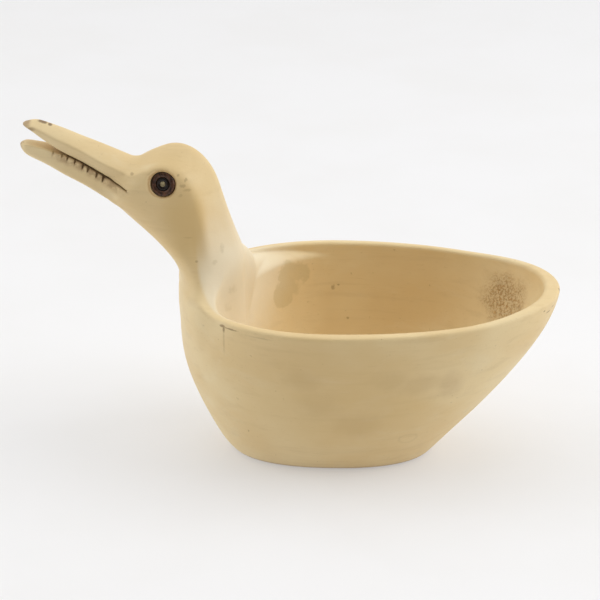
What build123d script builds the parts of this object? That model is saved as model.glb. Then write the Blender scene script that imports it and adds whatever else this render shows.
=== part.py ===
from build123d import *
import os
from math import cos, pi, sin

# A bird-shaped bowl, carved from one block of pale wood, with inlaid eyes.
# Millimetres. The bird faces -X, its left side is -Y, and +Z is up.
# The origin is the centre of the flat base. The shape is symmetric about the XZ plane.

# Outside of the bowl: height, reach towards the breast, reach towards the tail, half width.
BOWL_SECTIONS = [
    (0.0, 52.5, 53.5, 33.5),
    (5.0, 57.2, 58.0, 38.0),
    (15.0, 64.2, 67.0, 45.0),
    (30.0, 72.3, 80.5, 53.5),
    (50.0, 79.0, 96.8, 61.0),
    (70.0, 81.3, 110.5, 66.5),
    (90.0, 81.3, 118.6, 69.3),
]

# Inside of the bowl, given the same way. The last section stands above the rim, so the cut is clean.
FLOOR_THICKNESS = 12.0
HOLLOW_SECTIONS = [
    (FLOOR_THICKNESS, 30.0, 36.0, 18.0),
    (FLOOR_THICKNESS + 4.0, 44.0, 52.0, 31.0),
    (FLOOR_THICKNESS + 16.0, 57.0, 71.0, 44.0),
    (52.0, 67.0, 91.0, 55.0),
    (90.0, 72.5, 109.0, 63.2),
    (94.0, 72.7, 110.0, 63.5),
]
BASE_EDGE_RADIUS = 1.2
RIM_OUTER_RADIUS = 2.6
RIM_INNER_RADIUS = 1.6

# Breast, neck and head: front point, back point and half width of each section, in the XZ plane.
# The breast thickens the front wall of the bowl up to the root of the neck. The neck's sections fan
# round the throat, from level ones at the root to steep ones at the face.
NECK_ROOT = ((-80.8, 78.0), (-45.5, 78.0), 35.0)
BREAST_SECTIONS = [
    ((-67.0, 30.0), (-49.0, 30.0), 25.0),
    ((-76.5, 55.0), (-47.0, 55.0), 32.0),
    NECK_ROOT,
]
NECK_SECTIONS = [
    NECK_ROOT,
    ((-80.7, 90.0), (-45.0, 92.0), 32.5),
    ((-81.5, 100.5), (-45.3, 105.0), 27.0),
    ((-87.0, 109.3), (-48.4, 118.0), 23.0),
    ((-95.0, 118.0), (-53.3, 130.5), 20.5),
    ((-102.5, 125.2), (-56.7, 142.0), 19.8),
    ((-109.0, 131.2), (-61.5, 153.8), 19.5),
    ((-113.0, 134.2), (-69.5, 164.0), 19.0),
    ((-116.5, 136.4), (-83.0, 168.8), 17.8),
    ((-119.0, 138.0), (-99.0, 163.6), 14.6),
]

ELLIPSE_STEPS = 16

# Bill: underside point, top point and half width of each section of the two mandibles.
# The mouth opens as a wedge from its corner, just ahead of the face.
UPPER_SECTIONS = [
    ((-104.0, 146.0), (-98.0, 162.0), 13.0),
    ((-112.0, 150.0), (-108.0, 163.4), 12.6),
    ((-126.0, 157.6), (-121.5, 168.7), 10.5),
    ((-138.0, 164.2), (-134.0, 173.8), 8.9),
    ((-148.0, 169.9), (-145.5, 178.6), 7.6),
    ((-155.0, 174.6), (-153.5, 181.2), 6.4),
    ((-159.0, 177.6), (-158.4, 180.9), 4.2),
    ((-161.2, 178.9), (-161.0, 180.1), 1.6),
]
LOWER_SECTIONS = [
    ((-110.0, 136.5), (-98.0, 148.0), 10.0),
    ((-121.0, 143.4), (-114.5, 150.3), 11.2),
    ((-134.0, 150.6), (-129.5, 156.4), 9.6),
    ((-146.0, 157.3), (-143.0, 162.2), 7.6),
    ((-155.0, 162.3), (-153.2, 166.9), 5.8),
    ((-160.5, 165.0), (-159.6, 168.2), 3.6),
    ((-162.8, 166.6), (-162.5, 167.9), 1.4),
]

# Saw-like notches along both edges of the lower mandible.
NOTCH_COUNT = 9
FIRST_NOTCH = (-119.0, 9.2, 150.6)
LAST_NOTCH = (-148.0, 5.8, 162.4)
NOTCH_SIZE = 2.4
NOTCH_LENGTH = 6.0

# Inlaid eyes, one on each side of the head. Depths are measured inwards from the eye's face.
EYE_CENTRE = (-88.2, 17.9, 152.8)
EYE_AXIS = (-0.20, 0.95, 0.20)
EYE_RADIUS = 6.6
SOCKET_DEPTH = 5.0
CUTTER_HEIGHT = 8.0
IRIS_INNER_RADIUS = 3.6
PUPIL_SINK = 0.5
PIN_RADIUS = 1.45
PIN_SINK = 0.3
PIN_DEPTH = 3.5
EYE_EDGE_RADIUS = 0.8
INLAY_CLEARANCE = 0.05


def half_ellipses(height, front, rear, half_width):
    """One level section of the bowl: a short ellipse to the breast and a long one to the tail."""
    towards_tail = EllipticalCenterArc((0, 0), rear, half_width, start_angle=-90, arc_size=180)
    towards_breast = EllipticalCenterArc((0, 0), front, half_width, start_angle=90, arc_size=180)
    level = Plane.XY.offset(height)
    return level * make_face([towards_tail, towards_breast])


def slanted_ellipse(section):
    """An ellipse across the body, from a lower to an upper point of the XZ plane.

    Every section starts at its upper point and turns the same way, so that a loft doesn't twist.
    """
    low, high, half_width = section
    low_point = Vector(low[0], 0, low[1])
    high_point = Vector(high[0], 0, high[1])
    centre = (low_point + high_point) * 0.5
    upwards = high_point - centre
    sideways = Vector(0, half_width, 0)
    turns = [2 * pi * step / ELLIPSE_STEPS for step in range(ELLIPSE_STEPS)]
    outline = Spline([centre + upwards * cos(turn) + sideways * sin(turn) for turn in turns], periodic=True)
    return make_face(outline)


def bowl():
    outside = loft([half_ellipses(*section) for section in BOWL_SECTIONS])
    hollow = loft([half_ellipses(*section) for section in HOLLOW_SECTIONS])
    shell = outside - hollow
    rim = shell.faces().sort_by(Axis.Z)[-1]
    shell = fillet(rim.outer_wire().edges(), RIM_OUTER_RADIUS)
    rim = shell.faces().filter_by(Axis.Z).sort_by(Axis.Z)[-1]
    shell = fillet(rim.inner_wires()[0].edges(), RIM_INNER_RADIUS)
    base = shell.faces().filter_by(Axis.Z).sort_by(Axis.Z)[0]
    return fillet(base.outer_wire().edges(), BASE_EDGE_RADIUS)


def lofted_ellipses(sections):
    return loft([slanted_ellipse(section) for section in sections])


def notches():
    """Small four-sided cutters, set on edge, along both sides of the lower mandible."""
    first = Vector(FIRST_NOTCH)
    last = Vector(LAST_NOTCH)
    cutters = []
    for index in range(NOTCH_COUNT):
        spot = first + (last - first) * (index / (NOTCH_COUNT - 1))
        for side in (-1, 1):
            place = Pos(spot.X, side * spot.Y, spot.Z) * Rot(0, 45, 0)
            cutters.append(place * Box(NOTCH_SIZE, NOTCH_LENGTH, NOTCH_SIZE))
    return cutters


def eye_plane(side):
    """The plane of an eye's face, with its Z axis pointing out of the head. side is -1 on the left."""
    x, y, z = EYE_CENTRE
    outwards = Vector(EYE_AXIS[0], side * EYE_AXIS[1], EYE_AXIS[2])
    return Plane(origin=(x, side * y, z), z_dir=outwards)


def disc(radius, top, bottom, hole_radius=0.0):
    """A disc or ring on the eye's axis, between two depths below the eye's face."""
    thickness = bottom - top
    solid = Cylinder(radius, thickness, align=(Align.CENTER, Align.CENTER, Align.MAX))
    if hole_radius:
        solid -= Cylinder(hole_radius, thickness, align=(Align.CENTER, Align.CENTER, Align.MAX))
    return Pos(0, 0, -top) * solid


def carved_body():
    neck = lofted_ellipses(BREAST_SECTIONS) + lofted_ellipses(NECK_SECTIONS)
    body = bowl() + neck
    body += lofted_ellipses(UPPER_SECTIONS)
    body += lofted_ellipses(LOWER_SECTIONS)
    body -= notches()
    for side in (-1, 1):
        body -= eye_plane(side) * disc(EYE_RADIUS + INLAY_CLEARANCE, -CUTTER_HEIGHT, SOCKET_DEPTH)
    return body


def iris_ring():
    ring = disc(EYE_RADIUS, 0.0, SOCKET_DEPTH, IRIS_INNER_RADIUS)
    face = ring.faces().sort_by(Axis.Z)[-1]
    return fillet(face.edges(), EYE_EDGE_RADIUS)


def pupil():
    hole = disc(PIN_RADIUS + INLAY_CLEARANCE, PIN_SINK, PIN_DEPTH)
    return disc(IRIS_INNER_RADIUS - INLAY_CLEARANCE, PUPIL_SINK, SOCKET_DEPTH) - hole


def eye_pin():
    pin = disc(PIN_RADIUS, PIN_SINK, PIN_DEPTH)
    face = pin.faces().sort_by(Axis.Z)[-1]
    return fillet(face.edges(), EYE_EDGE_RADIUS / 2)


os.makedirs("parts", exist_ok=True)
export_step(carved_body(), "parts/carved_bird_bowl.step")
for side_name, side in (("left", -1), ("right", 1)):
    place = eye_plane(side)
    export_step(place * iris_ring(), f"parts/{side_name}_iris_ring.step")
    export_step(place * pupil(), f"parts/{side_name}_pupil.step")
    export_step(place * eye_pin(), f"parts/{side_name}_eye_pin.step")
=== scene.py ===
import bmesh
import bpy
import math
import numpy as np
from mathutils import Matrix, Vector


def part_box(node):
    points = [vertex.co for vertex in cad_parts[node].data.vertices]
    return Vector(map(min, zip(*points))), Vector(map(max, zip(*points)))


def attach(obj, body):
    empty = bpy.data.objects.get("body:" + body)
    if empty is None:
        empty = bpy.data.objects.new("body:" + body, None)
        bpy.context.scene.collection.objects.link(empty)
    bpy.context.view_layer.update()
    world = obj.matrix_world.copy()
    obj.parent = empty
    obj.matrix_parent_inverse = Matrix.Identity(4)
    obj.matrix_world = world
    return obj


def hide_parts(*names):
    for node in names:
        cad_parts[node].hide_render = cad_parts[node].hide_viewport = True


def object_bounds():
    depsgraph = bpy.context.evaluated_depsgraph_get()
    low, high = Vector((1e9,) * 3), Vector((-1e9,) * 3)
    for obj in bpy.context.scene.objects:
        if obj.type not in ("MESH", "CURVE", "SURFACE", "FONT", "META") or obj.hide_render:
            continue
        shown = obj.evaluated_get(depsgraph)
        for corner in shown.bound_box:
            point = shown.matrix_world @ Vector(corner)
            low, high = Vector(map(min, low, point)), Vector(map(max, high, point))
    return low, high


# A bird-shaped bowl, carved from one block of pale wood, with inlaid eyes, on a pale studio floor.
# The carved body is modelled as one implicit surface, in millimetres, and turned into a fine mesh.
# Blender's side of the script is in metres. The bird faces -X, its left side is -Y, and +Z is up.

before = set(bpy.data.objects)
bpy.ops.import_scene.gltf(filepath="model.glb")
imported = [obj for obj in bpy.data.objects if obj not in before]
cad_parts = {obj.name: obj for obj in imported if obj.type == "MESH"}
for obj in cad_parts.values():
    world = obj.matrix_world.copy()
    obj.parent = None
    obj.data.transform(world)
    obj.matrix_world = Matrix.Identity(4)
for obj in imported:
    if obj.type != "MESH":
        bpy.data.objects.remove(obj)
cad_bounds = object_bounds()

MM = 0.001
BODY_NODE = "carved_bird_bowl"
BODY_LOW, BODY_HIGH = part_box(BODY_NODE)
BILL_TIP_X = BODY_LOW.x / MM
TAIL_REACH = BODY_HIGH.x / MM
BOWL_HALF_WIDTH = BODY_HIGH.y / MM
TOP_Z = BODY_HIGH.z / MM
RIM_HEIGHT = 90.0


# ---------------------------------------------------------------- curves and blends

def smooth_curve(knots, values):
    """A natural cubic spline through (knots, values), level outside them."""
    x = np.asarray(knots, float)
    y = np.asarray(values, float)
    h = np.diff(x)
    count = len(x)
    system = np.eye(count)
    right = np.zeros(count)
    for i in range(1, count - 1):
        system[i, i - 1:i + 2] = h[i - 1], 2 * (h[i - 1] + h[i]), h[i]
        right[i] = 6 * ((y[i + 1] - y[i]) / h[i] - (y[i] - y[i - 1]) / h[i - 1])
    bend = np.linalg.solve(system, right)

    def evaluate(at):
        at = np.clip(at, x[0], x[-1])
        i = np.clip(np.searchsorted(x, at) - 1, 0, count - 2)
        left = at - x[i]
        rest = x[i + 1] - at
        return ((bend[i] * rest ** 3 + bend[i + 1] * left ** 3) / (6 * h[i])
                + (y[i] / h[i] - bend[i] * h[i] / 6) * rest
                + (y[i + 1] / h[i] - bend[i + 1] * h[i] / 6) * left)

    return evaluate


def smooth_step(low, high, value):
    t = np.clip((value - low) / (high - low), 0, 1)
    return t * t * (3 - 2 * t)


def smooth_min(a, b, k):
    """The union of two distances, with a fillet about k wide between them."""
    h = np.maximum(k - np.abs(a - b), 0) / k
    return np.minimum(a, b) - h * h * k / 4


def smooth_max(a, b, k):
    """The overlap of two distances, with an edge rounded over about k."""
    return -smooth_min(-a, -b, k)


def oval_distance(x, y, front, rear, half_width, power, x_slope, y_slope):
    """The distance to an upright egg-shaped wall, to first order.

    front and rear are its reaches along X and half_width its reach along Y. x_slope and y_slope are
    how fast the reaches grow with height, which tells how far the wall leans.
    """
    reach = np.where(x < 0, front, rear)
    u = np.abs(x) / reach
    v = np.abs(y) / half_width
    r = np.maximum((u ** power + v ** power) ** (1 / power), 1e-3)
    du = (u / r) ** (power - 1) / reach
    dv = (v / r) ** (power - 1) / half_width
    dz = (u / r) ** (power - 1) * u * x_slope / reach + (v / r) ** (power - 1) * v * y_slope / half_width
    return (r - 1) / np.sqrt(du * du + dv * dv + dz * dz)


SQUARE_BELOW = 40.0
SLOPE_STEP = 1.0


def egg_wall(heights, fronts, rears, half_widths, power, base_power=0.0):
    """An egg-shaped wall whose reaches follow smooth curves of height. It grows squarer near the base."""
    curves = [smooth_curve(heights, values) for values in (fronts, rears, half_widths)]

    def evaluate(x, y, z):
        front, rear, half_width = (curve(z) for curve in curves)
        squareness = power + base_power * smooth_step(SQUARE_BELOW, 0, z)
        front_up, rear_up, width_up = (curve(z + SLOPE_STEP) for curve in curves)
        x_slope = np.where(x < 0, front_up - front, rear_up - rear)
        return oval_distance(x, y, front, rear, half_width, squareness, x_slope, width_up - half_width)

    return evaluate


def tapered_capsule(x, y, start_x, start_radius, end_x, end_radius):
    """The plan distance to a shape with straight tapering sides and round ends, along -X."""
    length = start_x - end_x
    along = start_x - x
    across = np.abs(y)
    lean = (start_radius - end_radius) / length
    rise = math.sqrt(1 - lean * lean)
    k = -lean * across + rise * along
    side = across * rise + along * lean - start_radius
    near_start = np.hypot(along, across) - start_radius
    near_end = np.hypot(along - length, across) - end_radius
    return np.where(k < 0, near_start, np.where(k > rise * length, near_end, side))


# ---------------------------------------------------------------- the bowl

OUTSIDE = egg_wall(
    heights=(-10, 0, 5, 15, 30, 50, 70, RIM_HEIGHT, 110),
    fronts=(38, 53.2, 57.8, 64.0, 71.6, 78.8, 81.2, 80.8, 80.6),
    rears=(40, 51.2, 55.8, 64.8, 79.4, 96.3, 110.0, TAIL_REACH - 0.2, 118.6),
    half_widths=(22, 33.5, 38, 45, 53.5, 61, 66.3, BOWL_HALF_WIDTH, 70.5),
    power=2.0, base_power=0.3)
HOLLOW = egg_wall(
    heights=(6, 16, 30, 52, 72, RIM_HEIGHT, 110),
    fronts=(40, 49, 57, 66, 70.5, 72.6, 72.6),
    rears=(44, 56, 71, 90, 101.5, 109, 111),
    half_widths=(27, 36, 45.5, 55.5, 60.5, 63.2, 63.6),
    power=2.12)
FLOOR_THICKNESS = 12.0
FLOOR_DISH = 0.0012
FLOOR_CORNER = 22.0
BASE_EDGE = 1.6

# The rim falls outwards. It rises at the tail and towards the neck, each over a span of X.
RIM_DROP = 0.2
RIM_SLOPE = 0.13
RIM_BREADTH = 10.0
TAIL_RISE = 2.7
TAIL_RISE_SPAN = (66, 120)
NECK_RISE = 3.0
NECK_RISE_SPAN = (-59, -72)
RIM_OUTER_EDGE = 2.3
RIM_INNER_EDGE = 2.2


def bowl_outside(x, y, z):
    """The bowl before it is hollowed out, with a rim that falls outwards."""
    wall = OUTSIDE(x, y, z)
    inward = np.clip(-wall, 0, RIM_BREADTH)
    rim = (RIM_HEIGHT - RIM_DROP + RIM_SLOPE * inward + TAIL_RISE * smooth_step(*TAIL_RISE_SPAN, x)
           + NECK_RISE * smooth_step(*NECK_RISE_SPAN, x))
    solid = smooth_max(wall, z - rim, RIM_OUTER_EDGE)
    return smooth_max(solid, -z, BASE_EDGE)


def bowl_hollow(x, y, z):
    floor = FLOOR_THICKNESS + FLOOR_DISH * (x * x + y * y)
    return smooth_max(HOLLOW(x, y, z), floor - z, FLOOR_CORNER)


# ---------------------------------------------------------------- neck and head

# Each section of the neck and head is an oval across the body, from a front point to a back point
# of the XZ plane. The sections fan round the throat, from level ones in the breast to steep ones
# at the face. Front X and Z, back X and Z, half width, how square the oval is, and how far its back
# is cut to a plain curved face that meets the sides at a ridge.
NECK_SECTIONS = np.array([
    (-47.0, 10.0, -38.0, 10.0, 18.0, 2.0, 1.0),
    (-60.0, 32.0, -43.0, 32.0, 26.0, 2.0, 1.0),
    (-69.0, 55.0, -45.0, 55.0, 32.0, 2.0, 1.0),
    (-78.5, 75.0, -46.0, 76.0, 34.0, 2.0, 1.0),
    (-81.0, 89.0, -46.0, 92.0, 33.0, 2.1, 1.0),
    (-81.4, 100.5, -46.0, 106.0, 28.5, 2.2, 0.9),
    (-86.0, 109.3, -49.8, 118.0, 23.2, 2.2, 0.6),
    (-94.2, 118.4, -54.6, 130.5, 19.9, 2.3, 0.2),
    (-102.0, 125.8, -58.3, 142.0, 18.6, 2.4, 0.0),
    (-108.6, 132.0, -62.4, 153.8, 18.5, 2.5, 0.0),
    (-112.6, 135.8, -70.2, 164.2, 18.6, 2.5, 0.0),
    (-116.0, 138.4, -83.0, 168.9, 17.6, 2.5, 0.0),
    (-118.0, 140.1, -97.0, 163.8, 14.4, 2.4, 0.0),
    (-120.2, 142.0, -106.0, 159.6, 12.2, 2.4, 0.0),
    (-124.0, 145.2, -113.0, 157.4, 9.5, 2.4, 0.0),
])
BACK_REACH = 1.5
BACK_RIDGE = 4.0
NECK_END_EDGE = 3.0

# The flat that the knife left between the back of the head and neck and their sides.
FACET_BACK, FACET_SIDE = 0.80, 0.60
FACET_CUT = 3.2
FACET_EDGE = 1.6
TABLE_LOW = np.array((-150.0, -10.0))
TABLE_STEP = 0.5
TABLE_SIZE = (300, 420)
FINE_SECTIONS = 261


def section_table():
    """For each point of the XZ plane: which section it lies on, and how far along that section."""
    places = np.arange(len(NECK_SECTIONS))
    curves = [smooth_curve(places, column) for column in NECK_SECTIONS.T]
    fine = np.linspace(0, len(NECK_SECTIONS) - 1, FINE_SECTIONS)
    front_x, front_z, back_x, back_z = (curve(fine) for curve in curves[:4])
    x = TABLE_LOW[0] + TABLE_STEP * np.arange(TABLE_SIZE[0])[:, None]
    z = TABLE_LOW[1] + TABLE_STEP * np.arange(TABLE_SIZE[1])[None, :]
    section = np.zeros(TABLE_SIZE)
    sides = []
    found = np.zeros(TABLE_SIZE, bool)
    for i in range(FINE_SECTIONS):
        along_x, along_z = back_x[i] - front_x[i], back_z[i] - front_z[i]
        length = math.hypot(along_x, along_z)
        side = ((z - front_z[i]) * along_x - (x - front_x[i]) * along_z) / length
        if sides:
            previous = sides[-1]
            crossed = ~found & (previous > 0) & (side <= 0)
            share = previous / np.where(crossed, previous - side, 1)
            section = np.where(crossed, fine[i - 1] + share * (fine[i] - fine[i - 1]), section)
            found |= crossed
            section = np.where(found | (side <= 0), section, fine[i])
        sides.append(side)
    front_x, front_z, back_x, back_z, width, power, back_cut = (curve(section) for curve in curves)
    centre_x, centre_z = (front_x + back_x) / 2, (front_z + back_z) / 2
    half_x, half_z = (back_x - front_x) / 2, (back_z - front_z) / 2
    half = np.hypot(half_x, half_z)
    along = ((x - centre_x) * half_x + (z - centre_z) * half_z) / half
    past_ends = np.maximum(-sides[0], sides[-1])
    return np.stack([along, half, width, power, back_cut, past_ends], axis=-1)


SECTION_TABLE = section_table()


def from_table(x, z):
    """Bilinear values of the section table."""
    u = np.clip((x - TABLE_LOW[0]) / TABLE_STEP, 0, TABLE_SIZE[0] - 1.001)
    v = np.clip((z - TABLE_LOW[1]) / TABLE_STEP, 0, TABLE_SIZE[1] - 1.001)
    i, j = u.astype(int), v.astype(int)
    a, b = (u - i)[:, None], (v - j)[:, None]
    low = SECTION_TABLE[i, j] * (1 - b) + SECTION_TABLE[i, j + 1] * b
    high = SECTION_TABLE[i + 1, j] * (1 - b) + SECTION_TABLE[i + 1, j + 1] * b
    return (low * (1 - a) + high * a).T


def neck_and_head(x, y, z):
    along, half, width, power, back_cut, past_ends = from_table(x, z)
    u = np.abs(along) / half
    v = np.abs(y) / width
    r = np.maximum((u ** power + v ** power) ** (1 / power), 1e-3)
    du = (u / r) ** (power - 1) / half
    dv = (v / r) ** (power - 1) / width
    oval = (r - 1) / np.sqrt(du * du + dv * dv)
    dual = power / (power - 1)
    support = ((half * FACET_BACK) ** dual + (width * FACET_SIDE) ** dual) ** (1 / dual)
    facet = along * FACET_BACK + np.abs(y) * FACET_SIDE - support + FACET_CUT
    oval = smooth_max(oval, facet, FACET_EDGE)
    back_bend = BACK_REACH * half / width ** 2
    back = (along - half + back_bend * y * y) / np.sqrt(1 + (2 * back_bend * y) ** 2)
    oval += np.clip(back_cut, 0, 1) * (smooth_max(oval, back, BACK_RIDGE) - oval)
    return smooth_max(oval, past_ends, NECK_END_EDGE)


# ---------------------------------------------------------------- bill

MOUTH_CORNER_X = -106.5
UPPER_TOP = smooth_curve(
    (-163, -157, -153.4, -150, -144.3, -138, -132, -123, -115, -107, -98),
    (179.7, 180.85, TOP_Z - 0.15, 180.3, 178.3, 175.8, 173.2, 169.6, 166.2, 162.6, 158.5))
UPPER_SHOULDER = smooth_curve((-163, -157, -150, -144.3, -132, -123, -107, -98),
                              (179.0, 178.7, 176.0, 173.1, 167.9, 163.0, 156.0, 152.5))
UPPER_UNDER = smooth_curve((-163, -159, -155.6, -152, -148, -144.5, -132, -120, -107.5, -98),
                           (179.6, 178.0, 175.8, 173.0, 170.2, 167.9, 161.3, 154.6, 148.3, 144))
LOWER_TOP = smooth_curve(
    (-163, -161, -154.4, -149.5, -145.4, -141, -137, -133, -128, -120, -107.5, -98),
    (168.4, 168.8, 168.0, 166.9, 165.6, 164.3, 163.0, 161.3, 158.8, 154.4, 148.1, 143.8))
LOWER_BOTTOM = smooth_curve(
    (-163, -159.2, -152.8, -146.6, -140.5, -134.3, -128.2, -122, -115.8, -109.7, -98),
    (164.9, 162.4, 159.3, 156.2, 152.8, 149.7, 146.6, 142.9, 139.2, 135.6, 128))
KEEL = 1.4
UNDERCUT = 0.28
ROOF_POWER = 1.45
UPPER_TIP = (-156.2, 5.5)
LOWER_TIP = (BILL_TIP_X + 4.75, 4.7)
BILL_ROOT_X = -104.0
UPPER_ROOT_RADIUS = 13.2
LOWER_ROOT_RADIUS = 12.4
BILL_SLOPE = 0.9

# How the slopes along the bill scale its vertical distances, and how round its edges are.
ROOF_SLOPE_SQUARED = 0.19
JAW_LEAN = 0.84
ROOF_EDGE = 0.8
JAW_EDGE = 2.0
MANDIBLE_SEAM = 0.6
BILL_ROOT_DEPTH = 8.0
BILL_ROOT_EDGE = 2.0
MOUTH_CUT = 0.75

NOTCH_COUNT = 8
NOTCH_FIRST_X = -119.0
NOTCH_STEP = 3.65
NOTCH_LENGTH = 3.8
NOTCH_STEEPNESS = 5.0
NOTCH_SHORTENING = 0.45
NOTCH_SIDES = (-3.2, -0.8)
NOTCH_SLANT = 0.25
NOTCH_WANDER = 0.5


def plan_of(x, y, tip, root_radius):
    """The plan distance of a mandible, and its local half width."""
    plan = tapered_capsule(x, y, BILL_ROOT_X, root_radius, tip[0], tip[1])
    share = np.clip((BILL_ROOT_X - x) / (BILL_ROOT_X - tip[0]), 0, 1)
    return plan, root_radius + (tip[1] - root_radius) * share


def bill_outside(x, y, z):
    """Both mandibles, before the mouth is cut between them."""
    middle = (UPPER_UNDER(x) + LOWER_TOP(x)) / 2
    plan, radius = plan_of(x, y, UPPER_TIP, UPPER_ROOT_RADIUS)
    edge = 1 - np.clip(-plan / radius, 0, 1)
    crown, shoulder = UPPER_TOP(x), UPPER_SHOULDER(x)
    top = crown - (crown - shoulder) * edge ** ROOF_POWER
    fall = ROOF_POWER * (crown - shoulder) / radius * edge ** (ROOF_POWER - 1)
    lean = 1 / np.sqrt(1 + ROOF_SLOPE_SQUARED + fall ** 2)
    tucked = (plan + UNDERCUT * np.maximum(shoulder - z, 0)) / math.hypot(1, UNDERCUT)
    upper = smooth_max(tucked, (z - top) * lean, ROOF_EDGE)
    upper = np.maximum(upper, (middle - z) * BILL_SLOPE)
    plan, radius = plan_of(x, y, LOWER_TIP, LOWER_ROOT_RADIUS)
    edge = 1 - np.clip(-plan / radius, 0, 1)
    bottom = LOWER_BOTTOM(x) + KEEL * edge ** 2
    lower = smooth_max(plan, (bottom - z) * JAW_LEAN, JAW_EDGE)
    lower = np.maximum(lower, (z - middle) * BILL_SLOPE)
    past_root = x - (BILL_ROOT_X + BILL_ROOT_DEPTH)
    return smooth_max(smooth_min(upper, lower, MANDIBLE_SEAM), past_root, BILL_ROOT_EDGE)


def mouth(x, y, z):
    """The open wedge between the mandibles, never thinner than a knife cut."""
    above = (z - np.maximum(UPPER_UNDER(x), LOWER_TOP(x) + MOUTH_CUT)) * BILL_SLOPE
    below = (LOWER_TOP(x) - z) * BILL_SLOPE
    return np.maximum(np.maximum(above, below), x - MOUTH_CORNER_X)


def notches(x, y, z):
    """Narrow V cuts down both sides of the lower mandible, shorter towards its tip."""
    place = np.clip(np.round((NOTCH_FIRST_X - x) / NOTCH_STEP), 0, NOTCH_COUNT - 1)
    centre = NOTCH_FIRST_X - place * NOTCH_STEP
    plan, _ = plan_of(x, y, LOWER_TIP, LOWER_ROOT_RADIUS)
    depth = NOTCH_LENGTH * (1 - NOTCH_SHORTENING * place / NOTCH_COUNT) * smooth_step(*NOTCH_SIDES, plan)
    lean_back = NOTCH_SLANT * (z - LOWER_TOP(x)) + NOTCH_WANDER * np.sin(2.4 * place)
    bottom = LOWER_TOP(x) - depth + NOTCH_STEEPNESS * np.abs(x - centre - lean_back)
    return (bottom - z) / math.hypot(1, NOTCH_STEEPNESS)


# ---------------------------------------------------------------- eyes

EYE_AXIS = Vector((-0.20, -0.95, 0.20)).normalized()
RING_LOW, RING_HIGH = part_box("left_iris_ring")
SOCKET_DEPTH = 5.0
IRIS_RADIUS = 6.35
IRIS_INNER_RADIUS = 3.6
PIN_RADIUS = 1.45
EYE_CENTRE = (RING_LOW + RING_HIGH) / (2 * MM) + EYE_AXIS * (SOCKET_DEPTH / 2)
SOCKET_RADIUS = IRIS_RADIUS + 0.15
SOCKET_SPARE = 0.3
BRIM_RADIUS = 7.7
BRIM_RISE = 0.5
BRIM_CORNER = 1.5


def eye_sockets(x, y, z):
    """A round hole for each eye, inside a shallow levelled brim."""
    dx, dy, dz = x - EYE_CENTRE.x, -np.abs(y) - EYE_CENTRE.y, z - EYE_CENTRE.z
    up = dx * EYE_AXIS.x + dy * EYE_AXIS.y + dz * EYE_AXIS.z
    radius = np.sqrt(np.maximum(dx * dx + dy * dy + dz * dz - up * up, 0))
    hole = np.maximum(radius - SOCKET_RADIUS, -SOCKET_DEPTH - SOCKET_SPARE - up)
    brim = smooth_max(radius - BRIM_RADIUS, BRIM_RISE - up, BRIM_CORNER)
    return hole, brim


# ---------------------------------------------------------------- the shoulder by the right wall

# The wood left standing between the neck and the right wall: the line of its back up the neck, and
# how far that lies inside the neck's back, how it sweeps round to the wall, and how its top climbs
# from a line inside the wall towards the neck.
SHOULDER_BACK = smooth_curve(NECK_SECTIONS[:7, 3], NECK_SECTIONS[:7, 2])
SHOULDER_TUCK = 1.0
SHOULDER_SWEEP = 0.005
SHOULDER_CLIMB = 0.42
SHOULDER_CLIMB_START = 8.0
SHOULDER_INSET = 5.5
SHOULDER_FOOT = 9.0
SHOULDER_BROW = 14.0
SHOULDER_WALL_EDGE = 3.0
SHOULDER_FOOT_EDGE = 2.0


def right_shoulder(x, y, z):
    inward = -OUTSIDE(x, y, z)
    right = np.maximum(y, 0)
    lean = np.sqrt(1 + (2 * SHOULDER_SWEEP * right) ** 2)
    back = (x - SHOULDER_BACK(z) + SHOULDER_TUCK - SHOULDER_SWEEP * right ** 2) / lean
    climb = SHOULDER_CLIMB * (inward - SHOULDER_CLIMB_START)
    top = (z - RIM_HEIGHT - climb) / math.hypot(1, SHOULDER_CLIMB)
    solid = smooth_max(back, top, SHOULDER_BROW)
    solid = smooth_max(solid, SHOULDER_INSET - inward, SHOULDER_WALL_EDGE)
    solid = smooth_max(solid, SHOULDER_FOOT - z, SHOULDER_FOOT_EDGE)
    return smooth_max(solid, -y, SHOULDER_FOOT_EDGE)


# ---------------------------------------------------------------- the whole body

NECK_FILLET = 17.0
RIGHT_FILLET_EXTRA = 8.0
BREAST_FILLET = 4.0
SHOULDER_FILLET = 22.0
SHOULDER_SEAM = 0.3

# The spans over which the fillets grow: along X, up Z, across Y, and into the wall.
NECK_ALONG, NECK_UP, NECK_ACROSS, NECK_INTO_WALL = (-83, -66), (62, 86), (14, 30), (1, 7)
EXTRA_ACROSS = (0, 20)
SHOULDER_UP, SHOULDER_ACROSS = (60, 92), (-2, 14)

# The neck's fillet fades out again along the right rim, so that it doesn't lift the rim.
RIM_UP, RIM_ACROSS = (82, 90), (16, 30)
RIM_FADE = 0.9


def fillets(x, y, z, outside):
    """How wide two fillets are: from the neck to the bowl, and from the neck to its shoulder."""
    above = smooth_step(*NECK_UP, z) * (1 - smooth_step(*NECK_ACROSS, y))
    above_or_inside = np.maximum(above, smooth_step(*NECK_INTO_WALL, -outside))
    widest = NECK_FILLET + RIGHT_FILLET_EXTRA * smooth_step(*EXTRA_ACROSS, y)
    to_bowl = BREAST_FILLET + (widest - BREAST_FILLET) * smooth_step(*NECK_ALONG, x) * above_or_inside
    to_bowl *= 1 - RIM_FADE * smooth_step(*RIM_UP, z) * smooth_step(*RIM_ACROSS, y)
    to_shoulder = SHOULDER_FILLET * smooth_step(*SHOULDER_UP, z) * smooth_step(*SHOULDER_ACROSS, y)
    return to_bowl, to_shoulder + SHOULDER_SEAM


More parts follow.
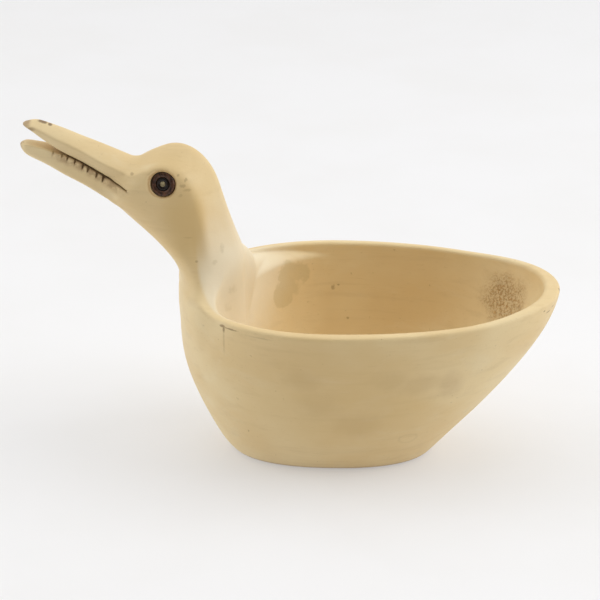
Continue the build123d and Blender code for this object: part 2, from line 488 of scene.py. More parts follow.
CHIN_FILLET, BROW_FILLET = 1.5, 5.0
CHIN_TO_BROW = (146, 158)
LIP_EDGE = 0.7
NOTCH_EDGE = 0.3
BRIM_EDGE, SOCKET_EDGE = 1.2, 0.5

# Only points in these parts of the head are near the bill and the eyes.
BILL_AHEAD_OF_X = -85
EYES_AHEAD_OF_X, EYES_ABOVE_Z = -70, 130


def with_bill(head, x, y, z):
    """The head with the bill joined on, the mouth opened and the notches cut."""
    root_fillet = CHIN_FILLET + (BROW_FILLET - CHIN_FILLET) * smooth_step(*CHIN_TO_BROW, z)
    head = smooth_min(head, bill_outside(x, y, z), root_fillet)
    head = smooth_max(head, -mouth(x, y, z), LIP_EDGE)
    below_roof = np.maximum(notches(x, y, z), z - UPPER_UNDER(x))
    return smooth_max(head, -below_roof, NOTCH_EDGE)


def with_sockets(head, x, y, z):
    """The head with the brims and sockets of the eyes cut into it."""
    hole, brim = eye_sockets(x, y, z)
    head = smooth_max(head, -brim, BRIM_EDGE)
    return smooth_max(head, -hole, SOCKET_EDGE)


def body(x, y, z):
    """The distance to the carved surface, negative inside the wood."""
    neck = neck_and_head(x, y, z)
    outside = bowl_outside(x, y, z)
    shell = smooth_max(outside, -bowl_hollow(x, y, z), RIM_INNER_EDGE)
    to_bowl, to_shoulder = fillets(x, y, z, outside)
    block = smooth_min(neck, right_shoulder(x, y, z), to_shoulder)
    solid = smooth_min(shell, block, to_bowl)
    at_bill = x < BILL_AHEAD_OF_X
    if np.any(at_bill):
        solid[at_bill] = with_bill(solid[at_bill], x[at_bill], y[at_bill], z[at_bill])
    at_eyes = (x < EYES_AHEAD_OF_X) & (z > EYES_ABOVE_Z)
    if np.any(at_eyes):
        solid[at_eyes] = with_sockets(solid[at_eyes], x[at_eyes], y[at_eyes], z[at_eyes])
    return solid


# ---------------------------------------------------------------- from distances to a mesh

def graded_axis(stops, coarse):
    """Grid lines between stops: (start, spacing after it), ..., (end, None)."""
    lines = []
    for (start, spacing), (end, _) in zip(stops[:-1], stops[1:]):
        count = max(1, round((end - start) / (spacing * coarse)))
        lines.extend(np.linspace(start, end, count, endpoint=False))
    lines.append(stops[-1][0])
    return np.array(lines)


BLOCK = 4
NEAR_REACHES, NEAR_MARGIN = 2.0, 2.0
FAR_VALUE = 100.0


def sampled(distance, xs, ys, zs):
    """The distance at every grid point near the surface, and a far value of the right sign elsewhere."""
    shape = (len(xs), len(ys), len(zs))
    blocks = [np.arange(0, n, BLOCK) for n in shape]
    centres = []
    for lines, starts in zip((xs, ys, zs), blocks):
        ends = np.minimum(starts + BLOCK, len(lines) - 1)
        centres.append(((lines[starts] + lines[ends]) / 2, (lines[ends] - lines[starts]) / 2))
    grid = np.meshgrid(*[c[0] for c in centres], indexing="ij")
    size = np.meshgrid(*[c[1] for c in centres], indexing="ij")
    coarse = distance(*[g.ravel() for g in grid]).reshape(grid[0].shape)
    reach = np.sqrt(size[0] ** 2 + size[1] ** 2 + size[2] ** 2)
    active = np.abs(coarse) < NEAR_REACHES * reach + NEAR_MARGIN
    for axis, starts in enumerate(blocks):
        active = np.repeat(active, BLOCK, axis=axis).take(range(shape[axis]), axis=axis)
        coarse = np.repeat(coarse, BLOCK, axis=axis).take(range(shape[axis]), axis=axis)
    i, j, k = np.nonzero(active)
    values = np.where(coarse < 0, -FAR_VALUE, FAR_VALUE)
    values[i, j, k] = distance(xs[i], ys[j], zs[k])
    return values


def surface_net(values, xs, ys, zs):
    """Points and quads of the zero surface: one point in each grid cell that it crosses."""
    lines = (xs, ys, zs)
    cells = tuple(n - 1 for n in values.shape)
    total = np.zeros((cells[0] * cells[1] * cells[2], 3))
    hits = np.zeros(len(total))
    edges = []
    for axis in range(3):
        low = [slice(None)] * 3
        high = [slice(None)] * 3
        low[axis], high[axis] = slice(None, -1), slice(1, None)
        a, b = values[tuple(low)], values[tuple(high)]
        at = np.array(np.nonzero((a < 0) != (b < 0))).T
        others = [n for n in range(3) if n != axis]
        inner = np.all([(at[:, n] > 0) & (at[:, n] < values.shape[n] - 1) for n in others], axis=0)
        at = at[inner]
        va, vb = a[tuple(at.T)], b[tuple(at.T)]
        share = va / (va - vb)
        point = np.stack([lines[n][at[:, n]] for n in range(3)], axis=1)
        step = lines[axis][at[:, axis] + 1] - lines[axis][at[:, axis]]
        point[:, axis] += share * step
        ring = []
        for back in ((1, 1), (0, 1), (0, 0), (1, 0)):
            cell = at.copy()
            cell[:, others[0]] -= back[0]
            cell[:, others[1]] -= back[1]
            flat = np.ravel_multi_index(tuple(cell.T), cells)
            ring.append(flat)
            np.add.at(total, flat, point)
            np.add.at(hits, flat, 1)
        ring = np.stack(ring, axis=1)
        flip = (va < 0) == (axis == 1)
        ring[flip] = ring[flip][:, ::-1]
        edges.append(ring)
    used = np.nonzero(hits)[0]
    number = np.full(len(total), -1)
    number[used] = np.arange(len(used))
    points = total[used] / hits[used, None]
    return points, number[np.concatenate(edges)]


def gradient(distance, points, step=0.05):
    slopes = []
    for axis in range(3):
        ahead, behind = points.copy(), points.copy()
        ahead[:, axis] += step
        behind[:, axis] -= step
        slopes.append((distance(*ahead.T) - distance(*behind.T)) / (2 * step))
    return np.stack(slopes, axis=1)


def settle(distance, points, rounds=2, limit=0.5):
    """Moves the points of a mesh onto the exact surface."""
    for _ in range(rounds):
        slope = gradient(distance, points)
        steep = np.maximum((slope ** 2).sum(axis=1), 0.05)
        move = -slope * (distance(*points.T) / steep)[:, None]
        length = np.linalg.norm(move, axis=1, keepdims=True)
        points = points + move * np.minimum(1, limit / np.maximum(length, 1e-9))
    return points


def mesh_object(name, points, faces):
    mesh = bpy.data.meshes.new(name)
    mesh.from_pydata((points * MM).tolist(), [], [list(face) for face in faces])
    mesh.update()
    mesh.shade_smooth()
    piece = bpy.data.objects.new(name, mesh)
    bpy.context.collection.objects.link(piece)
    return piece


# The spacing of the grid lines, in millimetres, and the space round the body.
BILL_GRID, HEAD_GRID, MOUTH_GRID, RIM_GRID, NECK_GRID, WALL_GRID = 0.55, 0.7, 0.45, 0.6, 0.8, 1.15
GRID_MARGIN = 3


def carved_body():
    """The carved piece, and its points in millimetres."""
    coarse = 1.0
    xs = graded_axis([(BILL_TIP_X - 2, BILL_GRID), (-96, HEAD_GRID), (-70, WALL_GRID),
                      (TAIL_REACH + GRID_MARGIN, None)], coarse)
    half = graded_axis([(0, RIM_GRID), (21, WALL_GRID), (BOWL_HALF_WIDTH + GRID_MARGIN, None)], coarse)
    ys = np.concatenate([-half[:0:-1], half])
    zs = graded_axis([(-2.3, WALL_GRID), (RIM_HEIGHT - 5, RIM_GRID), (RIM_HEIGHT + 5, NECK_GRID),
                      (128, RIM_GRID), (141, MOUTH_GRID), (167, RIM_GRID),
                      (TOP_Z + GRID_MARGIN, None)], coarse)
    values = sampled(body, xs, ys, zs)
    points, faces = surface_net(values, xs, ys, zs)
    points = settle(body, points)
    return mesh_object("carved_body", points, faces.tolist()), points


def surface_values(piece, name, values):
    """Stores one number for each point of a mesh, for its material to read."""
    layer = piece.data.attributes.new(name, "FLOAT", "POINT")
    layer.data.foreach_set("value", np.asarray(values, np.float32))


FACE_FROM_X = -100


def notch_stain_and_slit_shade(x, y, z):
    """The dark stain in the bottom of the notches, and painted shade along the slit of the mouth."""
    below = LOWER_TOP(x) - z
    in_notch = smooth_step(0.42, 0.02, notches(x, y, z)) * smooth_step(-0.8, 0.4, below)
    in_notch *= smooth_step(NOTCH_LENGTH + 0.6, NOTCH_LENGTH - 1.4, below)
    in_notch *= 0.35 + 0.65 * smooth_step(-142, -126, x)
    # Painted shade along the thin slit of the mouth.
    slit = smooth_step(1.0, 0.3, np.abs(z - LOWER_TOP(x) - 0.2)) * smooth_step(-140, -124, x)
    slit *= 0.7 * smooth_step(MOUTH_CORNER_X + 1.6, MOUTH_CORNER_X - 0.5, x)
    return np.where(x < FACE_FROM_X, np.maximum(in_notch, slit), 0)


def mouth_smear_and_shade(x, y, z):
    """The brown that has spread round the notches, and painted shade under the edge of the upper mandible,
    down the side of the lower one.
    """
    below = LOWER_TOP(x) - z
    band = smooth_step(6.0, 2.5, below) * smooth_step(-2.5, 0.0, below)
    return np.where(x < FACE_FROM_X, band * smooth_step(-150, -138, x) * smooth_step(-106, -114, x), 0)


carved, carved_points = carved_body()
surface_values(carved, "inside", smooth_step(2.5, 0.5, bowl_hollow(*carved_points.T)))
surface_values(carved, "notch_stain_and_slit_shade", notch_stain_and_slit_shade(*carved_points.T))
surface_values(carved, "mouth_smear_and_shade", mouth_smear_and_shade(*carved_points.T))
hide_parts(BODY_NODE)
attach(carved, "root")


# ---------------------------------------------------------------- eye pieces

LATHE_STEPS = 72
FACE_LIFT = 0.06

# Each profile runs from the face of the eye into its socket: radius, and height above the eye's face.
RING_PROFILE = [
    (IRIS_INNER_RADIUS + 0.02, -0.62), (3.72, -0.36), (3.95, -0.12), (4.35, 0.10), (4.9, 0.20),
    (5.5, 0.14), (6.0, -0.04), (6.2, -0.32), (6.32, -0.72), (IRIS_RADIUS, -1.3),
    (IRIS_RADIUS, -3.0), (IRIS_RADIUS, -4.7), (5.2, -4.95), (IRIS_INNER_RADIUS + 0.3, -4.95),
    (IRIS_INNER_RADIUS + 0.02, -4.6), (IRIS_INNER_RADIUS + 0.02, -2.5),
]
PUPIL_PROFILE = [
    (0.0, -0.75), (1.2, -0.72), (1.62, -0.64), (1.95, -0.42), (2.5, -0.28), (3.0, -0.36),
    (3.35, -0.58), (3.52, -0.95), (3.55, -2.5), (3.5, -4.6), (3.0, -4.9), (1.5, -4.9), (0.0, -4.9),
]
PIN_PROFILE = [
    (0.0, -0.02), (0.55, -0.06), (1.0, -0.18), (1.3, -0.38), (1.44, -0.66), (PIN_RADIUS, -1.2),
    (PIN_RADIUS, -2.6), (1.3, -3.2), (0.0, -3.3),
]


def lathed(name, profile, side, closed, wobble):
    """A turned piece on an eye's axis. side is -1 on the left. A hand-cut edge wobbles a little."""
    axis = np.array((EYE_AXIS.x, -side * EYE_AXIS.y, EYE_AXIS.z))
    centre = np.array((EYE_CENTRE.x, -side * EYE_CENTRE.y, EYE_CENTRE.z))
    across = np.cross(axis, (0, 0, 1))
    across /= np.linalg.norm(across)
    upwards = np.cross(across, axis)
    points = []
    rings = []
    for radius, height in profile:
        ring = []
        for step in range(LATHE_STEPS if radius > 0 else 1):
            turn = 2 * math.pi * step / LATHE_STEPS
            reach = radius * (1 - wobble * (0.5 + 0.3 * math.sin(3 * turn + 1) + 0.2 * math.sin(7 * turn)))
            lift = FACE_LIFT * math.sin(2 * turn + height) if radius > 0 and height > -1 else 0
            outwards = math.cos(turn) * across + math.sin(turn) * upwards
            ring.append(len(points))
            points.append(centre + axis * (height + lift) + reach * outwards)
        rings.append(ring)
    faces = []
    after_rings = rings[1:] + rings[:1] if closed else rings[1:]
    for one, other in zip(rings, after_rings):
        for step in range(LATHE_STEPS):
            after = (step + 1) % LATHE_STEPS
            if len(one) == 1:
                face = (one[0], other[after], other[step])
            elif len(other) == 1:
                face = (one[step], one[after], other[0])
            else:
                face = (one[step], one[after], other[after], other[step])
            faces.append(face)
    piece = mesh_object(name, np.array(points), faces)
    work = bmesh.new()
    work.from_mesh(piece.data)
    bmesh.ops.recalc_face_normals(work, faces=work.faces)
    work.to_mesh(piece.data)
    work.free()
    piece.data.shade_smooth()
    return piece


# Each eye piece: its node, its profile, whether the profile closes on itself, its wobble and its slot.
EYE_NODES = [
    ("iris_ring", RING_PROFILE, True, 0.012, "brown_iris"),
    ("pupil", PUPIL_PROFILE, False, 0.01, "black_pupil"),
    ("eye_pin", PIN_PROFILE, False, 0.05, "pale_pin"),
]
eye_pieces = {node: [] for node, *_ in EYE_NODES}
for side_name, side in (("left", -1), ("right", 1)):
    for node, profile, closed, wobble, slot in EYE_NODES:
        piece = lathed(side_name + "_turned_" + node, profile, side, closed, wobble)
        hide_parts(side_name + "_" + node)
        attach(piece, "root")
        eye_pieces[node].append(piece)


# ---------------------------------------------------------------- materials

class Paint:
    """A node material, with short ways to add the nodes that the finishes below share."""

    def __init__(self, name, roughness, specular):
        self.material = bpy.data.materials.new(name)
        self.material.use_nodes = True
        self.tree = self.material.node_tree
        self.shader = self.tree.nodes["Principled BSDF"]
        self.shader.inputs["Roughness"].default_value = roughness
        self.shader.inputs["Specular IOR Level"].default_value = specular
        self.place = self.add("ShaderNodeTexCoord").outputs["Object"]

    def add(self, kind, inputs=None, **settings):
        node = self.tree.nodes.new(kind)
        for key, value in settings.items():
            setattr(node, key, value)
        for key, value in (inputs or {}).items():
            if isinstance(value, bpy.types.NodeSocket):
                self.tree.links.new(value, node.inputs[key])
            else:
                node.inputs[key].default_value = value
        return node

    def attribute(self, name):
        return self.add("ShaderNodeAttribute", attribute_name=name).outputs["Fac"]

    def noise(self, scale, detail, roughness, stretch=(1, 1, 1), distortion=0.0):
        """Noise of the given number of features a metre, finer along an axis where stretch is more."""
        spread = self.add("ShaderNodeVectorMath", {0: self.place, 1: stretch}, operation="MULTIPLY")
        settings = {"Vector": spread.outputs[0], "Scale": scale, "Detail": detail, "Roughness": roughness,
                    "Distortion": distortion}
        return self.add("ShaderNodeTexNoise", settings).outputs["Fac"]

    def ramp(self, value, low, high, to_low=0.0, to_high=1.0):
        return self.add("ShaderNodeMapRange", {"Value": value, "From Min": low, "From Max": high,
                                               "To Min": to_low, "To Max": to_high},
                        interpolation_type="SMOOTHSTEP").outputs["Result"]

    def math(self, operation, a, b=0.0):
        return self.add("ShaderNodeMath", {0: a, 1: b}, operation=operation).outputs[0]

    def mix(self, share, a, b):
        colour_a = a if isinstance(a, bpy.types.NodeSocket) else (*a, 1)
        colour_b = b if isinstance(b, bpy.types.NodeSocket) else (*b, 1)
        return self.add("ShaderNodeMix", {0: share, 6: colour_a, 7: colour_b}, data_type="RGBA").outputs[2]

    def layer(self, base, colour, share, strength):
        """A colour laid over another, at a share of its strength."""
        return self.mix(self.math("MULTIPLY", share, strength), base, colour)

    def spot(self, centre, radii, soft, ragged, grain, turn=0, ring=False):
        """A patch round a point, both in millimetres, with a soft and ragged edge, or only its edge."""
        place = [c * MM for c in centre]
        size = [r * MM for r in radii]
        away = self.add("ShaderNodeVectorMath", {0: self.place, 1: place}, operation="SUBTRACT").outputs[0]
        if turn:
            away = self.add("ShaderNodeVectorRotate", {"Vector": away, "Angle": math.radians(-turn)},
                            rotation_type="Z_AXIS").outputs[0]
        away = self.add("ShaderNodeVectorMath", {0: away, 1: size}, operation="DIVIDE").outputs[0]
        far = self.add("ShaderNodeVectorMath", {0: away}, operation="LENGTH").outputs["Value"]
        shake = self.math("SUBTRACT", self.noise(grain, 3.0, 0.55), 0.5)
        far = self.math("ADD", far, self.math("MULTIPLY", shake, ragged))
        if ring:
            return self.ramp(self.math("ABSOLUTE", self.math("SUBTRACT", far, 1.0)), soft, 0.0)
        return self.ramp(far, 1 + soft, 1 - soft)

    def bump(self, height, distance, strength):
        node = self.add("ShaderNodeBump", {"Height": height, "Distance": distance, "Strength": strength})
        self.tree.links.new(node.outputs["Normal"], self.shader.inputs["Normal"])

    def colour(self, socket):
        self.tree.links.new(socket, self.shader.inputs["Base Color"])

    def set_roughness(self, socket):
        self.tree.links.new(socket, self.shader.inputs["Roughness"])


WOOD_CREAM = (0.815, 0.650, 0.368)
WOOD_TAN = (0.760, 0.570, 0.292)
WOOD_PALE = (0.845, 0.730, 0.490)
# The next colour is painted light: a sheen on the front of the hollow and the back of the neck.
PAINTED_SHEEN_CREAM = (0.855, 0.770, 0.585)
# The next tan is painted shade: on the side of the head, the throat, the near wall and inside the hollow.
SHADE_TAN = (0.680, 0.480, 0.205)
GRAIN_BROWN = (0.470, 0.320, 0.150)
# The next brown is real dirt and specks, and also the painted shade along the foot.
DIRT_AND_SHADE_BROWN = (0.310, 0.200, 0.095)
OLIVE_STAIN = (0.470, 0.370, 0.170)
NOTCH_BROWN = (0.175, 0.098, 0.042)
SMEAR_BROWN = (0.400, 0.255, 0.120)
# The next brown is the real end-grain stain, and also a painted shade ring round the eye sockets.
END_GRAIN_AND_SOCKET_SHADE_BROWN = (0.450, 0.230, 0.060)
GREY_SMUDGE = (0.560, 0.480, 0.310)
TIP_BROWN = (0.330, 0.210, 0.110)

# Stains, marks and painted shade: a colour, its strength, and its patches. A patch has its centre and
# radii in millimetres, how soft its edge is, how ragged, how fine the raggedness, and any turn about Z.
MARKS = [
    # The olive stain on the right wall, inside.
    (OLIVE_STAIN, 0.38, [
        ((-22.0, 50, 76), (9.0, 9, 7.5), 0.12, 1.5, 110),
        ((-28.5, 48, 66), (6.0, 9, 7.5), 0.12, 1.3, 110),
        ((-25.5, 50, 70), (6, 9, 7), 0.2, 1.2, 110),
    ]),
    # Specks inside the right wall.
    (DIRT_AND_SHADE_BROWN, 0.6, [
        ((-27.2, 53.5, 59.4), (0.8, 2, 0.6), 0.5, 0.4, 500),
        ((-2, 59.2, 65.7), (1.1, 2, 1.1), 0.5, 2.2, 700),
        ((1, 59.2, 67), (0.6, 2, 0.4), 0.5, 1.0, 500),
        ((6.4, 54.5, 49.3), (0.7, 2, 0.6), 0.5, 0.8, 500),
        ((-48, 54, 76), (0.5, 3, 0.5), 0.5, 0.8, 500),
        ((20, 57, 74), (0.5, 3, 0.4), 0.5, 0.8, 500),
    ]),
    # Smudges up the back of the neck.
    (GREY_SMUDGE, 0.40, [
        ((-51, -18.9, 94.7), (2.6, 4, 4.0), 0.5, 2.4, 260),
        ((-45.8, -12.6, 78.6), (1.8, 4, 4.0), 0.5, 2.4, 300),
        ((-57.7, -16, 117.5), (1.6, 3, 2.6), 0.5, 2.4, 320),
        ((-59.8, -13.6, 129), (0.9, 2, 1.8), 0.5, 2.0, 400),
        ((-61, -21, 111), (2.0, 3, 1.2), 0.5, 2.4, 350),
        ((-52, -22, 86), (3.4, 4, 2.6), 0.6, 2.6, 240),
    ]),
    # The knock below the left rim.
    (DIRT_AND_SHADE_BROWN, 0.80, [
        ((-56.3, -49.6, 88.0), (1.9, 2.5, 0.8), 0.35, 1.5, 500, -34),
        ((-55.6, -49.8, 86.4), (0.6, 2.5, 1.6), 0.5, 1.2, 500),
        ((-52.5, -52.5, 87.6), (4.5, 2.2, 0.40), 0.6, 1.4, 420, -34),
    ]),
    # Faint cracks that run from the knock.
    (DIRT_AND_SHADE_BROWN, 0.28, [
        ((-55.7, -49.4, 80), (0.45, 3, 6.0), 0.8, 1.5, 420),
        ((-36.0, -61.2, 86.6), (6.5, 2, 0.35), 0.8, 1.6, 420, -22),
    ]),
    # Soft brown blotches on the left wall.
    (SMEAR_BROWN, 0.27, [
        ((44, -58, 60), (11, 8, 6), 0.7, 1.6, 90),
        ((30, -61, 64), (9, 8, 5), 0.8, 1.6, 90),
        ((-16, -64, 64), (8, 8, 6), 0.8, 1.6, 90),
        ((-8, -58, 50), (10, 9, 7), 0.9, 1.8, 70),
        ((60, -50, 58), (6, 8, 7), 0.8, 1.6, 90),
        ((12, -54, 36), (10, 8, 6), 0.9, 1.8, 70),
    ]),
    # Dots on the rim at the tail.
    (DIRT_AND_SHADE_BROWN, 0.8, [
        ((117.4, -4.6, 91.2), (1.0, 1.4, 1.2), 0.4, 0.8, 500),
        ((113.6, -20, 88), (0.8, 3, 0.5), 0.5, 0.8, 300),
        ((111, -22.5, 86.5), (1.3, 3, 0.4), 0.5, 0.8, 300),
        ((108.4, -25.6, 88.6), (0.6, 2, 0.5), 0.5, 0.8, 300),
    ]),
    # Specks behind the eye and down the neck.
    (DIRT_AND_SHADE_BROWN, 0.55, [
        ((-77.7, -17.5, 151.9), (1.6, 3, 0.9), 0.4, 2.6, 900),
        ((-75.4, -17, 149.5), (1.7, 3, 0.7), 0.4, 2.6, 900),
        ((-79, -18, 146.6), (1.2, 3, 0.7), 0.4, 2.6, 900),
        ((-76.2, -17, 154.6), (0.8, 3, 1.0), 0.4, 2.4, 900),
        ((-80, -18, 157.4), (0.6, 3, 0.6), 0.5, 1.8, 900),
        ((-75.5, -19.5, 124.2), (2.4, 2, 0.4), 0.6, 0.8, 300),
        ((-71, -20, 112), (0.7, 3, 0.6), 0.5, 1.0, 400),
        ((-104.1, -13.9, 156.8), (0.9, 2, 0.7), 0.5, 1.0, 500),
    ]),
    # Painted shade on the side of the head, above and behind the eye.
    (SHADE_TAN, 0.30, [
        ((-82, -16, 164), (13, 8, 7), 0.8, 0.6, 60),
    ]),
    # The worn tips of the bill.
    (TIP_BROWN, 0.75, [
        ((-159.4, 0, 180.2), (2.6, 6, 2.8), 0.6, 1.0, 300),
        ((-156.4, -5.0, 177.4), (2.2, 1.1, 0.9), 0.7, 0.8, 300),
        ((-163, 0, 167), (2.0, 5, 2.4), 0.6, 1.0, 300),
    ]),
    # A nick on top of the bill.
    (NOTCH_BROWN, 0.85, [
        ((-150.2, -0.6, 180.4), (2.8, 1.6, 1.2), 0.35, 0.9, 400),
        ((-146.6, -1.2, 179), (1.2, 1.2, 1), 0.4, 0.8, 400),
    ]),
]


def wood_grain(paint):
    """The colour of the clean wood, and where its fibres and pores are."""
    clouds = paint.noise(scale=16, detail=3.0, roughness=0.5, stretch=(1, 1.3, 1.6))
    patches = paint.noise(scale=42, detail=4.0, roughness=0.6, stretch=(0.6, 1.2, 1.6), distortion=0.6)
    rings = paint.noise(scale=90, detail=3.0, roughness=0.55, stretch=(0.10, 1.0, 2.4), distortion=0.3)
    fibres = paint.noise(scale=900, detail=3.0, roughness=0.65, stretch=(0.06, 1.0, 1.0))
    speckle = paint.noise(scale=1300, detail=2.0, roughness=0.6, stretch=(0.5, 1.0, 1.0))
    dust = paint.noise(scale=420, detail=2.0, roughness=0.5)
    base = paint.mix(paint.ramp(clouds, 0.35, 0.66), WOOD_CREAM, WOOD_TAN)
    base = paint.mix(paint.ramp(patches, 0.52, 0.80, 0, 0.35), base, WOOD_PALE)
    base = paint.mix(paint.ramp(rings, 0.50, 0.76, 0, 0.15), base, GRAIN_BROWN)
    base = paint.mix(paint.ramp(fibres, 0.55, 0.80, 0, 0.20), base, GRAIN_BROWN)
    pores = paint.math("MULTIPLY", paint.ramp(speckle, 0.69, 0.78), paint.ramp(patches, 0.42, 0.62))
    base = paint.layer(base, DIRT_AND_SHADE_BROWN, pores, 0.35)
    base = paint.layer(base, DIRT_AND_SHADE_BROWN, paint.ramp(dust, 0.72, 0.80), 0.5)
    return base, fibres, pores


def open_end_grain(paint, base, inside):
    """The tail end of the hollow, which is cut across the grain, pitted and stained."""
    tail = paint.math("MULTIPLY", paint.spot((90, 28, 72), (16, 15, 11), 0.5, 1.3, 90), inside)
    pits = paint.ramp(paint.noise(scale=760, detail=4.0, roughness=0.75), 0.47, 0.60)
    tail_pits = paint.math("MULTIPLY", paint.math("MULTIPLY", pits, tail), 0.92)
    base = paint.layer(base, SMEAR_BROWN, tail, 0.26)
    return paint.mix(tail_pits, base, END_GRAIN_AND_SOCKET_SHADE_BROWN), tail_pits


def painted_sheen_front(paint, base, inside):
    """Painted light: a paler, whiter sheen on the front of the hollow and up the back of the neck, where
    the light falls on them.
    """
    hollow = paint.math("MULTIPLY", paint.spot((-52, 6, 90), (33, 60, 42), 0.45, 0.6, 40), inside)
    neck = paint.math("MULTIPLY", paint.spot((-50, -8, 106), (16, 22, 32), 0.6, 0.7, 40), 0.7)
    return paint.layer(base, PAINTED_SHEEN_CREAM, paint.math("MAXIMUM", hollow, neck), 0.9)


def with_marks(paint, base):
    for colour, strength, patches in MARKS:
        share = paint.spot(*patches[0])
        for patch in patches[1:]:
            share = paint.math("MAXIMUM", share, paint.spot(*patch))
        base = paint.layer(base, colour, share, strength)
    return base


def base_ring_and_painted_shade(paint, base, inside):
    """A faint ring near the base, and painted shade: on the near left wall, down the throat and neck side,
    inside the hollow, and in a brown ring round each eye socket.
    """
    faint_ring = paint.spot((38.6, -42.4, 23.0), (4.6, 6, 3.4), 0.30, 1.1, 160, ring=True)
    base = paint.layer(base, DIRT_AND_SHADE_BROWN, faint_ring, 0.12)
    # Painted shade on the near left wall, darkest low in its middle.
    left_wall = paint.spot((8, -64, 46), (62, 26, 40), 0.75, 0.9, 30)
    base = paint.layer(base, SHADE_TAN, left_wall, 0.60)
    # Painted shade down the throat and the side of the neck, beside the facet.
    throat = paint.math("MAXIMUM", paint.spot((-78, -20, 133), (10, 9, 20), 0.7, 0.7, 60),
                        paint.spot((-71.5, -19, 132), (5.5, 8, 17), 0.6, 0.4, 60))
    base = paint.layer(base, SHADE_TAN, throat, 0.85)
    # Painted shade over the whole inside of the hollow.
    base = paint.layer(base, SHADE_TAN, inside, 0.16)
    # Painted shade: a brown ring round the edge of each eye socket.
    eye_rim = paint.spot(EYE_CENTRE, (7.0, 7.0, 7.0), 0.14, 0.25, 300, ring=True)
    return paint.layer(base, END_GRAIN_AND_SOCKET_SHADE_BROWN, eye_rim, 0.5)


def shaded_and_stained_mouth(paint, base):
    """The brown stain of the mouth and notches, with painted shade in the mouth slit and under the upper
    mandible, broken up by noise.
    """
    broken = paint.ramp(paint.noise(scale=300, detail=3.0, roughness=0.6), 0.30, 0.62, 0.15, 0.75)
    base = paint.layer(base, SMEAR_BROWN, paint.attribute("mouth_smear_and_shade"), broken)
    broken = paint.ramp(paint.noise(scale=500, detail=3.0, roughness=0.6), 0.25, 0.55, 0.20, 0.62)
    return paint.layer(base, NOTCH_BROWN, paint.attribute("notch_stain_and_slit_shade"), broken)


# How high the painted shade along the foot fades out, and where it is fullest, in metres.
FOOT_SHADE_TOP, FOOT_SHADE_FULL = 0.0026, 0.0004


def pale_wood():
    """Dry, pale, fine-grained wood, cut by hand, worn smooth and a little dirty, with painted sheen and
    painted shade laid on it.
    """
    paint = Paint("pale_wood", 0.52, 0.42)
    inside = paint.attribute("inside")
    base, fibres, pores = wood_grain(paint)
    base, tail_pits = open_end_grain(paint, base, inside)
    base = painted_sheen_front(paint, base, inside)
    base = with_marks(paint, base)
    base = base_ring_and_painted_shade(paint, base, inside)
    base = shaded_and_stained_mouth(paint, base)
    height = paint.add("ShaderNodeSeparateXYZ", {0: paint.place}).outputs["Z"]
    # Painted shade: the wood darkens towards the floor along the foot of the bowl.
    base = paint.mix(paint.ramp(height, FOOT_SHADE_TOP, FOOT_SHADE_FULL, 0, 0.75), base, DIRT_AND_SHADE_BROWN)
    paint.colour(base)

    wear = paint.noise(scale=70, detail=4.0, roughness=0.6, stretch=(0.4, 1, 1))
    paint.set_roughness(paint.ramp(wear, 0.3, 0.7, 0.44, 0.62))
    facets = paint.noise(scale=38, detail=2.0, roughness=0.4, stretch=(0.7, 1.0, 1.0))
    relief = paint.math("ADD", paint.math("MULTIPLY", fibres, 0.16), paint.math("MULTIPLY", facets, 0.9))
    relief = paint.math("SUBTRACT", relief, paint.math("MULTIPLY", tail_pits, 0.9))
    relief = paint.math("SUBTRACT", relief, paint.math("MULTIPLY", pores, 0.2))
    paint.bump(relief, distance=0.0006, strength=0.6)
    return paint.material


EYE_SPECULAR = 0.3


def eye_finish(name, dark, light, roughness, mottle):
    """Glossy horn or glass, with a slow mottle and fine scratches."""
    paint = Paint(name, roughness, EYE_SPECULAR)
    cloud = paint.ramp(paint.noise(scale=mottle, detail=4.0, roughness=0.6, distortion=0.8), 0.35, 0.68)
    paint.colour(paint.mix(cloud, dark, light))
    wear = paint.noise(scale=900, detail=2.0, roughness=0.5)
    paint.set_roughness(paint.ramp(wear, 0.3, 0.7, roughness * 0.8, roughness * 1.5))
    paint.bump(paint.noise(scale=650, detail=3.0, roughness=0.5), distance=0.0003, strength=0.35)
    return paint.material


carved.data.materials.append(pale_wood())
eye_finishes = {
    "iris_ring": eye_finish("turned_iris", (0.020, 0.008, 0.004), (0.120, 0.050, 0.024), 0.26, 420),
    "pupil": eye_finish("turned_pupil", (0.006, 0.003, 0.002), (0.024, 0.013, 0.008), 0.18, 500),
    "eye_pin": eye_finish("turned_pin", (0.150, 0.110, 0.055), (0.480, 0.400, 0.220), 0.35, 900),
}
for node, pieces in eye_pieces.items():
    for piece in pieces:
        piece.data.materials.append(eye_finishes[node])


# ---------------------------------------------------------------- camera, light and floor

def look_at(thing, target):
    thing.rotation_euler = (Vector(target) - thing.location).to_track_quat("-Z", "Y").to_euler()


CAMERA_AZIMUTH = math.radians(1.735)
CAMERA_ELEVATION = math.radians(22.5)
CAMERA_DISTANCE = 1.4
CAMERA_LENS = 159.4
SENSOR_WIDTH = 36.0
AIM_ALONG, AIM_DOWN = 0.0041, 0.0084
box_centre = (Vector(cad_bounds[0]) + Vector(cad_bounds[1])) / 2
AIM = Vector((box_centre.x + AIM_ALONG, 0, box_centre.z - AIM_DOWN))


def add_camera():
    away = Vector((math.sin(CAMERA_AZIMUTH) * math.cos(CAMERA_ELEVATION),
                   -math.cos(CAMERA_AZIMUTH) * math.cos(CAMERA_ELEVATION),
                   math.sin(CAMERA_ELEVATION)))
    data = bpy.data.cameras.new("camera")
    data.lens = CAMERA_LENS
    data.sensor_width = SENSOR_WIDTH
    data.clip_end = 20.0
    camera = bpy.data.objects.new("camera", data)
    camera.location = AIM + away * CAMERA_DISTANCE
    look_at(camera, AIM)
    bpy.context.collection.objects.link(camera)
    bpy.context.scene.camera = camera


SOFTBOX_TARGET = (0, 0, 0.05)


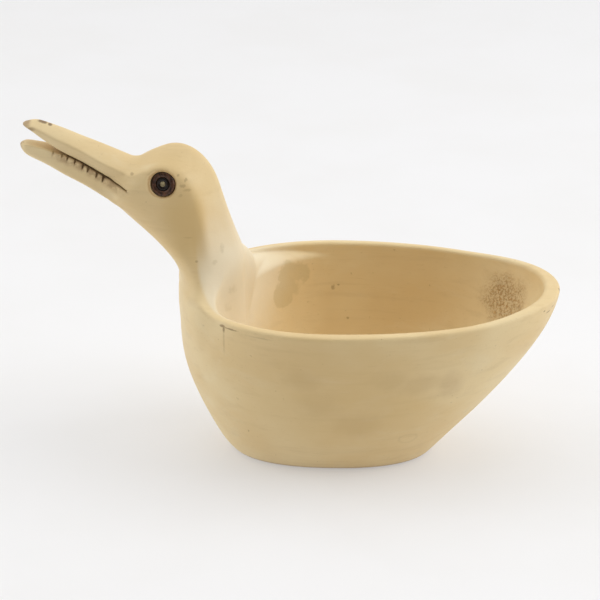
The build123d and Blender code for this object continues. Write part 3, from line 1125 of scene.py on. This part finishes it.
def add_softbox(name, place, size, power):
    data = bpy.data.lights.new(name, "AREA")
    data.shape = "RECTANGLE"
    data.size, data.size_y = size
    data.energy = power
    lamp = bpy.data.objects.new(name, data)
    lamp.location = place
    look_at(lamp, SOFTBOX_TARGET)
    bpy.context.collection.objects.link(lamp)


# How bright the tent is near the bird's left side and beyond its right side, and where it changes.
TENT_NEAR, TENT_FAR = 0.16, 0.72
TENT_NEAR_Y, TENT_FAR_Y = -0.9, 0.6


def studio_world():
    """A white tent that is dimmer on the bird's left."""
    world = bpy.data.worlds.new("studio")
    world.use_nodes = True
    tree = world.node_tree
    place = tree.nodes.new("ShaderNodeTexCoord")
    parts = tree.nodes.new("ShaderNodeSeparateXYZ")
    shade = tree.nodes.new("ShaderNodeMapRange")
    tree.links.new(place.outputs["Generated"], parts.inputs[0])
    tree.links.new(parts.outputs["Y"], shade.inputs["Value"])
    shade.inputs["From Min"].default_value = TENT_NEAR_Y
    shade.inputs["From Max"].default_value = TENT_FAR_Y
    shade.inputs["To Min"].default_value = TENT_NEAR
    shade.inputs["To Max"].default_value = TENT_FAR
    background = tree.nodes["Background"]
    background.inputs["Color"].default_value = (1, 1, 1, 1)
    tree.links.new(shade.outputs["Result"], background.inputs["Strength"])
    bpy.context.scene.world = world


add_camera()
add_softbox("top_softbox", (0.1, 0.15, 1.7), (2.4, 2.0), 12)
add_softbox("right_softbox", (1.6, 0.0, 1.0), (1.4, 1.4), 17)
add_softbox("left_softbox", (-1.6, 0.0, 0.8), (1.4, 1.4), 10)
studio_world()
bpy.context.scene.view_settings.view_transform = "Standard"

FLOOR_HALF = 6.0
floor_mesh = bpy.data.meshes.new("floor")
floor_mesh.from_pydata([(-FLOOR_HALF, -FLOOR_HALF, 0), (FLOOR_HALF, -FLOOR_HALF, 0),
                        (FLOOR_HALF, FLOOR_HALF, 0), (-FLOOR_HALF, FLOOR_HALF, 0)], [], [(0, 1, 2, 3)])
floor = bpy.data.objects.new("floor", floor_mesh)
bpy.context.collection.objects.link(floor)


PAPER_LIGHT, PAPER_DARK = (0.527, 0.527, 0.533), (0.513, 0.511, 0.511)
PAPER_GLOW = (1.0, 0.99, 0.985, 1)
PAPER_GLOW_STRENGTH = 0.36


def paper():
    """Pale studio paper, lit a little from below."""
    paint = Paint("paper", 0.9, 0.2)
    clouds = paint.ramp(paint.noise(scale=9, detail=3.0, roughness=0.5), 0.35, 0.7)
    paint.colour(paint.mix(clouds, PAPER_LIGHT, PAPER_DARK))
    paint.shader.inputs["Emission Color"].default_value = PAPER_GLOW
    paint.shader.inputs["Emission Strength"].default_value = PAPER_GLOW_STRENGTH
    paint.bump(paint.noise(scale=700, detail=3.0, roughness=0.6), distance=0.0002, strength=0.2)
    return paint.material


floor_mesh.materials.append(paper())
